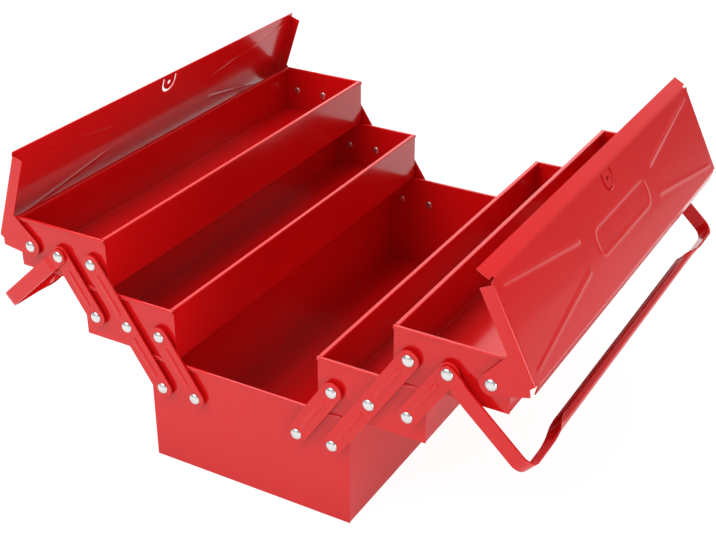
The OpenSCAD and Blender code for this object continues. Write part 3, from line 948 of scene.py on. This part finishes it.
def make_floor_finish():
    material, tree = new_material("pale_floor")
    place = add_node(tree, "ShaderNodeTexCoord").outputs["Object"]
    mottle = add_node(tree, "ShaderNodeTexNoise", Vector=place, Scale=3.0, Detail=2.0)
    tone = add_node(
        tree, "ShaderNodeMix", {"data_type": "RGBA"},
        _0=mottle.outputs["Fac"], _6=linear("#E8E8E8"), _7=linear("#E4E4E4"),
    )
    matt = add_node(tree, "ShaderNodeBsdfPrincipled", Base_Color=tone.outputs[2], Roughness=0.9)
    # A little over 1, which makes up for the matt share of the mix
    white = add_node(tree, "ShaderNodeEmission", Color=(1, 1, 1, 1), Strength=1.17)
    ray = add_node(tree, "ShaderNodeLightPath")
    reach = add_node(tree, "ShaderNodeVectorMath", {"operation": "LENGTH"}, _0=place)
    fade = add_node(
        tree, "ShaderNodeMapRange", {"interpolation_type": "SMOOTHSTEP"},
        Value=reach.outputs["Value"], From_Min=0.5, From_Max=1.6, To_Min=0.8, To_Max=1.0,
    )
    mirrored = add_node(
        tree, "ShaderNodeMath", {"operation": "MULTIPLY"},
        _0=ray.outputs["Is Glossy Ray"], _1=0.3,
    )
    share = add_node(
        tree, "ShaderNodeMath", {"operation": "MULTIPLY_ADD"},
        _0=ray.outputs["Is Camera Ray"], _1=fade.outputs["Result"], _2=mirrored.outputs[0],
    )
    mixed = add_node(
        tree, "ShaderNodeMixShader",
        _0=share.outputs[0], _1=matt.outputs["BSDF"], _2=white.outputs[0],
    )
    add_node(tree, "ShaderNodeOutputMaterial", Surface=mixed.outputs[0])
    return material


floor_mesh = bpy.data.meshes.new("floor")
corners = [(x * FLOOR_HALF, y * FLOOR_HALF, 0) for x, y in ((-1, -1), (1, -1), (1, 1), (-1, 1))]
floor_mesh.from_pydata(corners, [], [(0, 1, 2, 3)])
floor_mesh.materials.append(make_floor_finish())
floor = bpy.data.objects.new("floor", floor_mesh)
floor.location.z = FLOOR_Z
bpy.context.scene.collection.objects.link(floor)
print("floor:", 2 * FLOOR_HALF, "m wide")

# %% [markdown]
# ## Camera
# The picture was taken from the front right, looking down. An angle round the box, an angle up and
# a distance are easier to read than a position, so the camera's place is worked out from them. A
# long lens from over a metre keeps the box's long edges nearly parallel.

# %% Camera at the photograph's viewing angle
azimuth, elevation, distance = math.radians(29.74), math.radians(28.5), 1.2512
target = Vector((-0.01717, 0, 0.10499))
back = Vector(
    (
        math.sin(azimuth) * math.cos(elevation),
        -math.cos(azimuth) * math.cos(elevation),
        math.sin(elevation),
    )
)
camera = bpy.data.objects.new("camera", bpy.data.cameras.new("camera"))
camera.data.sensor_width, camera.data.lens = 36, 66.39
camera.location = target + back * distance
camera.rotation_mode = "QUATERNION"
camera.rotation_quaternion = (-back).to_track_quat("-Z", "Y")
bpy.context.scene.collection.objects.link(camera)
bpy.context.scene.camera = camera
print("camera at", [round(v, 3) for v in camera.location])

# %% [markdown]
# ## Light
# Five soft lamps light the box: a large one above on the left for the trays, a key in front, weaker
# ones low in front and on the right for the walls, and one behind, whose image lies on the tray
# floors and the folded rims. The surroundings are white to the camera, and dimmer as light and in
# mirror images, so that the enamel keeps its red.

# %% Lamps
LIGHT_AIM = Vector((0, 0, 0.1))


def soft_light(name, where, width, height, watts):
    lamp = bpy.data.lights.new(name, "AREA")
    lamp.shape, lamp.size, lamp.size_y, lamp.energy = "RECTANGLE", width, height, watts
    light = bpy.data.objects.new(name, lamp)
    light.location = Vector(where)
    light.rotation_mode = "QUATERNION"
    light.rotation_quaternion = (LIGHT_AIM - Vector(where)).to_track_quat("-Z", "Y")
    bpy.context.scene.collection.objects.link(light)
    return light


lights = [
    soft_light("key_light", (-0.7, -1.6, 2.0), 1.6, 1.2, 28),
    soft_light("front_light", (0.1, -2.2, 0.25), 2.4, 0.5, 3),
    soft_light("side_light", (2.0, -0.5, 0.25), 1.6, 0.5, 15),
    soft_light("top_light", (-0.8, 0.2, 2.1), 2.0, 2.0, 40),
    soft_light("back_light", (-0.9, 2.4, 1.3), 3.0, 1.4, 17),
]
print("watts in all:", sum(light.data.energy for light in lights))

# %% Surroundings
world = bpy.data.worlds.new("studio")
bpy.context.scene.world = world
world.use_nodes = True
sky = world.node_tree
sky.nodes.clear()
ray = add_node(sky, "ShaderNodeLightPath")
seen = add_node(sky, "ShaderNodeBackground", Color=(1, 1, 1, 1), Strength=1.0)
towards = add_node(sky, "ShaderNodeTexCoord").outputs["Generated"]
way = add_node(sky, "ShaderNodeSeparateXYZ", Vector=towards)
# Mirror rays see dark surroundings below the horizon, and paler ones above it
mirrored = add_node(
    sky, "ShaderNodeMapRange",
    Value=way.outputs["Z"], From_Min=-0.05, From_Max=0.1, To_Min=0.05, To_Max=0.42,
)
strength = add_node(
    sky, "ShaderNodeMix", _0=ray.outputs["Is Glossy Ray"], _2=0.5, _3=mirrored.outputs["Result"]
)
around = add_node(
    sky, "ShaderNodeBackground", Color=(1, 1, 1, 1), Strength=strength.outputs[0]
)
either = add_node(
    sky, "ShaderNodeMixShader",
    _0=ray.outputs["Is Camera Ray"], _1=around.outputs[0], _2=seen.outputs[0],
)
add_node(sky, "ShaderNodeOutputWorld", Surface=either.outputs[0])
bpy.context.scene.view_settings.view_transform = "Standard"
print("surroundings:", world.name, "with", len(sky.nodes), "nodes")
